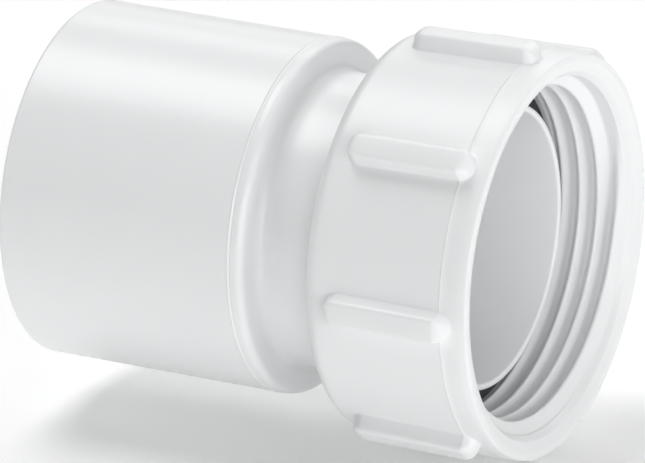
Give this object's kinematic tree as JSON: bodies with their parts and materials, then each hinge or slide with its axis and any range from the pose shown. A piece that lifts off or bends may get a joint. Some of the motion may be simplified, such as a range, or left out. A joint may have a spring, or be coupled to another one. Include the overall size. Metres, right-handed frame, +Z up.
{
  "type": "union fitting",
  "caption": "Straight union fitting: a solvent-weld pipe socket with a captive, ribbed union nut and a flat rubber washer.",
  "frame": {"origin": "centre of the pipe socket's mouth, on the fitting's axis", "axes": "+X along the fitting's axis, from the pipe socket's mouth to the nut's mouth; +Z up; the fitting lies on its side, as it does on a bench"},
  "size_m": [0.0616, 0.0516, 0.0516],
  "materials": {
    "moulded_body": "injection-moulded white plastic with a soft gloss",
    "moulded_nut": "injection-moulded white plastic with a soft gloss",
    "washer_rubber": "moulded black rubber, matt"
  },
  "bodies": {
    "tailpiece": {"socket_body": "moulded_body", "sealing_washer": "washer_rubber"},
    "nut": {"union_nut": "moulded_nut"}
  },
  "joints": [
    {"name": "nut_spin", "type": "hinge", "parent": "tailpiece", "child": "nut", "pos_m": [0, 0, 0], "axis": [1, 0, 0], "continuous": true}
  ]
}
